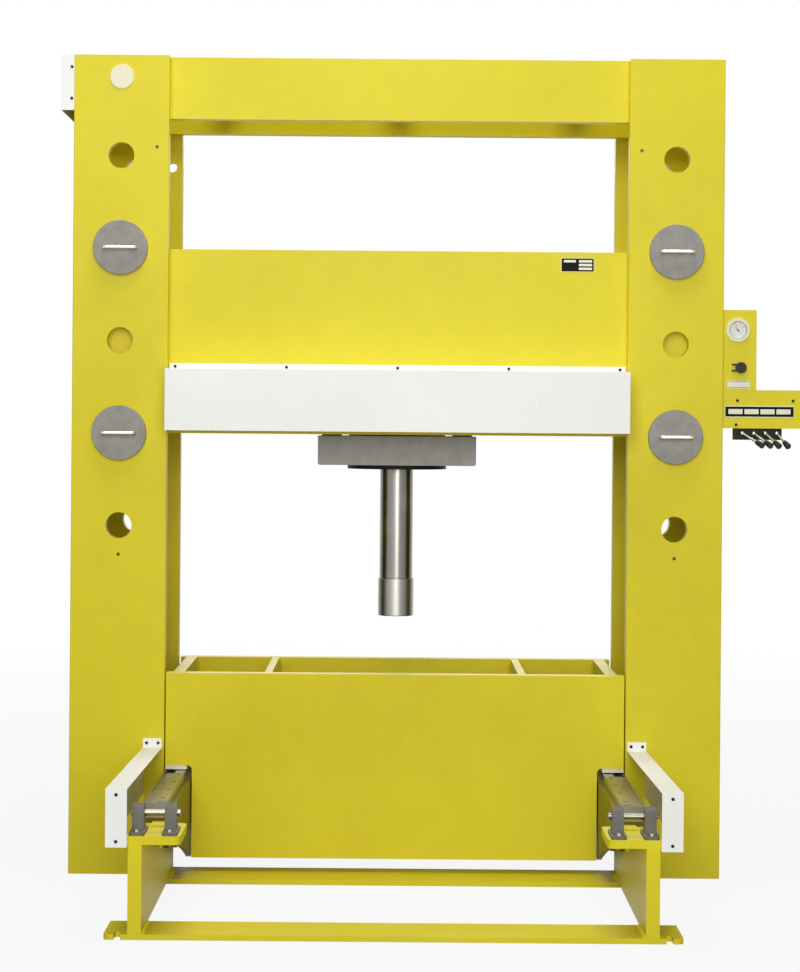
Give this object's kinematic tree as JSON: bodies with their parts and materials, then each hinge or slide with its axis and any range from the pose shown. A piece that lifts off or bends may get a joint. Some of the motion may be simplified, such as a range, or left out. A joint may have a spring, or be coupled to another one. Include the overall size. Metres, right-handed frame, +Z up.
{
  "type": "hydraulic press",
  "caption": "Upright workshop press with a pinned adjustable head, a cylinder that traverses, and a table that rolls out to the front on rails.",
  "frame": {"origin": "on the floor, midway between the columns and midway through their depth", "axes": "+X to the control box, +Y to the rear, +Z up"},
  "size_m": [2.461, 1.788, 2.71],
  "materials": {
    "yellow_paint": "satin enamel",
    "white_paint": "satin powder coat",
    "grey_paint": "satin enamel",
    "grey_zinc": "dull plated",
    "machined_steel": "ground, lightly oiled",
    "chromed_rod": "hard chromed, polished",
    "cast_grey": "painted casting",
    "black_steel": "black, semi-gloss",
    "bearing_bronze": "turned",
    "black_plastic": "moulded",
    "white_plastic": "moulded",
    "dial_white": "printed card",
    "clear_glass": "clear",
    "pale_plate": "satin"
  },
  "bodies": {
    "frame": {"column_front_plate_left": "yellow_paint", "column_rear_plate_left": "yellow_paint", "column_web_left": "yellow_paint", "rail_left": "machined_steel", "rail_support_left": "yellow_paint", "side_frame_left": "yellow_paint", "guard_left": "white_paint", "column_front_plate_right": "yellow_paint", "column_rear_plate_right": "yellow_paint", "column_web_right": "yellow_paint", "rail_right": "machined_steel", "rail_support_right": "yellow_paint", "side_frame_right": "yellow_paint", "guard_right": "white_paint", "column_plug": "white_plastic", "beam_front_plate": "yellow_paint", "beam_rear_plate": "yellow_paint", "head_front_plate": "yellow_paint", "head_rear_plate": "yellow_paint", "head_tubes": "yellow_paint", "head_cover": "white_paint", "sheet_screws": "black_steel", "rail_screws": "black_steel", "front_cross_plate": "yellow_paint", "rear_cross_plate": "yellow_paint", "pillow_blocks": "cast_grey", "pillow_bolts": "grey_zinc", "hoist_cover": "white_paint", "control_box": "yellow_paint", "plain_plates": "pale_plate", "gauge_case": "white_plastic", "gauge_dial": "dial_white", "gauge_glass": "clear_glass", "valve_block": "black_steel"},
    "carriage": {"carriage_block": "grey_paint", "carriage_shoes": "bearing_bronze", "cylinder_barrel": "grey_paint", "cylinder_gland": "black_steel"},
    "ram": {"ram_rod": "chromed_rod", "ram_nose": "machined_steel"},
    "table": {"table_front_plate": "yellow_paint", "table_rear_plate": "yellow_paint", "table_walls": "yellow_paint", "table_wipers": "grey_zinc"},
    "knob": {"selector_knob": "black_plastic"},
    "needle": {"gauge_needle": "black_steel"},
    "roller_front_left": {"roller_front_left": "machined_steel"},
    "roller_front_right": {"roller_front_right": "machined_steel"},
    "roller_rear_left": {"roller_rear_left": "machined_steel"},
    "roller_rear_right": {"roller_rear_right": "machined_steel"},
    "pin_upper_left": {"pin_upper_left": "grey_paint"},
    "pin_upper_right": {"pin_upper_right": "grey_paint"},
    "pin_lower_left": {"pin_lower_left": "grey_paint"},
    "pin_lower_right": {"pin_lower_right": "grey_paint"},
    "valve_lever_1": {"valve_lever_1": "black_plastic"},
    "valve_lever_2": {"valve_lever_2": "black_plastic"},
    "valve_lever_3": {"valve_lever_3": "black_plastic"},
    "valve_lever_4": {"valve_lever_4": "black_plastic"},
    "front_shaft_left": {"front_shaft_left": "chromed_rod"},
    "front_shaft_right": {"front_shaft_right": "chromed_rod"}
  },
  "joints": [
    {"name": "cylinder_traverse", "type": "slide", "parent": "frame", "child": "carriage", "axis": [1, 0, 0], "range_m": [-0.4, 0.4]},
    {"name": "ram_stroke", "type": "slide", "parent": "carriage", "child": "ram", "axis": [0, 0, -1], "range_m": [-0.35, 0.09]},
    {"name": "table_roll", "type": "slide", "parent": "frame", "child": "table", "axis": [0, -1, 0], "range_m": [0, 0.76]},
    {"name": "roller_front_left_turn", "type": "hinge", "parent": "table", "child": "roller_front_left", "pos_m": [-0.7435, -0.23, 0.3813], "axis": [1, 0, 0], "range_deg": [0, 1090]},
    {"name": "roller_front_right_turn", "type": "hinge", "parent": "table", "child": "roller_front_right", "pos_m": [0.7435, -0.23, 0.3813], "axis": [1, 0, 0], "range_deg": [0, 1090]},
    {"name": "roller_rear_left_turn", "type": "hinge", "parent": "table", "child": "roller_rear_left", "pos_m": [-0.7435, 0.23, 0.3813], "axis": [1, 0, 0], "range_deg": [0, 1090]},
    {"name": "roller_rear_right_turn", "type": "hinge", "parent": "table", "child": "roller_rear_right", "pos_m": [0.7435, 0.23, 0.3813], "axis": [1, 0, 0], "range_deg": [0, 1090]},
    {"name": "pin_upper_left_pull", "type": "slide", "parent": "frame", "child": "pin_upper_left", "axis": [0, -1, 0], "range_m": [0, 0.64]},
    {"name": "pin_upper_right_pull", "type": "slide", "parent": "frame", "child": "pin_upper_right", "axis": [0, -1, 0], "range_m": [0, 0.64]},
    {"name": "pin_lower_left_pull", "type": "slide", "parent": "frame", "child": "pin_lower_left", "axis": [0, -1, 0], "range_m": [0, 0.64]},
    {"name": "pin_lower_right_pull", "type": "slide", "parent": "frame", "child": "pin_lower_right", "axis": [0, -1, 0], "range_m": [0, 0.64]},
    {"name": "valve_lever_1_tilt", "type": "hinge", "parent": "frame", "child": "valve_lever_1", "pos_m": [1.1425, -0.2958, 1.475], "axis": [1, 0, 0], "range_deg": [-12, 12], "stiffness_Nm_per_rad": 3},
    {"name": "valve_lever_2_tilt", "type": "hinge", "parent": "frame", "child": "valve_lever_2", "pos_m": [1.1805, -0.2958, 1.475], "axis": [1, 0, 0], "range_deg": [-12, 12], "stiffness_Nm_per_rad": 3},
    {"name": "valve_lever_3_tilt", "type": "hinge", "parent": "frame", "child": "valve_lever_3", "pos_m": [1.2185, -0.2958, 1.475], "axis": [1, 0, 0], "range_deg": [-12, 12], "stiffness_Nm_per_rad": 3},
    {"name": "valve_lever_4_tilt", "type": "hinge", "parent": "frame", "child": "valve_lever_4", "pos_m": [1.2565, -0.2958, 1.475], "axis": [1, 0, 0], "range_deg": [-12, 12], "stiffness_Nm_per_rad": 3},
    {"name": "knob_turn", "type": "hinge", "parent": "frame", "child": "knob", "pos_m": [1.136, -0.295, 1.692], "axis": [0, 1, 0], "range_deg": [0, 90]},
    {"name": "needle_turn", "type": "hinge", "parent": "frame", "child": "needle", "pos_m": [1.126, -0.295, 1.816], "axis": [0, 1, 0], "range_deg": [0, 170], "stiffness_Nm_per_rad": 0.0005},
    {"name": "front_shaft_left_turn", "type": "hinge", "parent": "frame", "child": "front_shaft_left", "pos_m": [-0.695, -1.351, 0.358], "axis": [1, 0, 0], "continuous": true},
    {"name": "front_shaft_right_turn", "type": "hinge", "parent": "frame", "child": "front_shaft_right", "pos_m": [0.695, -1.351, 0.358], "axis": [1, 0, 0], "continuous": true}
  ],
  "couplings": [
    {"joint": "roller_front_left_turn", "follows": "table_roll", "rad_per_m": 25},
    {"joint": "roller_front_right_turn", "follows": "table_roll", "rad_per_m": 25},
    {"joint": "roller_rear_left_turn", "follows": "table_roll", "rad_per_m": 25},
    {"joint": "roller_rear_right_turn", "follows": "table_roll", "rad_per_m": 25}
  ]
}
